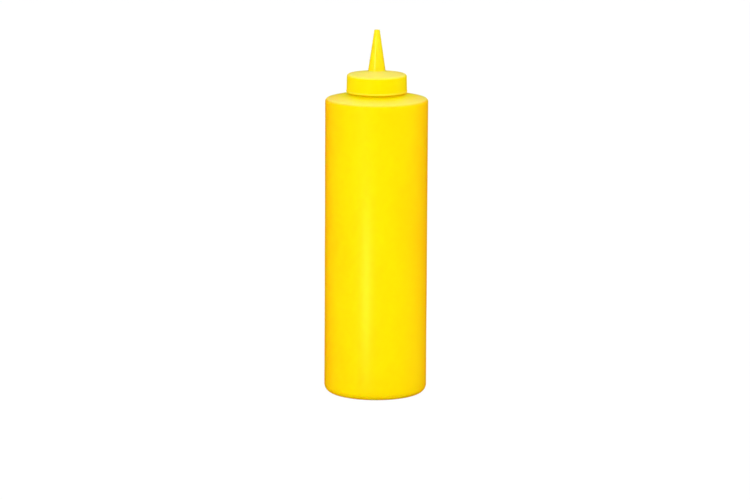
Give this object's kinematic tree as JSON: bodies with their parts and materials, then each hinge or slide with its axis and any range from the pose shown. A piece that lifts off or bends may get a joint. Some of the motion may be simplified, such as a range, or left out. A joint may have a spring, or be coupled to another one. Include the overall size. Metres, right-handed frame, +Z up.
{
  "type": "squeeze bottle",
  "caption": "Upright round squeeze dispenser with a straight wall, a sloping shoulder and a screwed-on cap that tapers into a pouring nozzle.",
  "frame": {"origin": "on the bottle's axis, at the level of the ring it stands on", "axes": "+Z up along the axis, towards the nozzle's tip; +X along the mould's parting plane and the pinch-off line under the base"},
  "size_m": [0.07, 0.07, 0.2497],
  "materials": {
    "bottle_plastic": "satin, slightly translucent low-density polyethylene",
    "cap_plastic": "satin, slightly translucent low-density polyethylene"
  },
  "bodies": {
    "root": {"bottle": "bottle_plastic", "cap": "cap_plastic"}
  },
  "joints": []
}
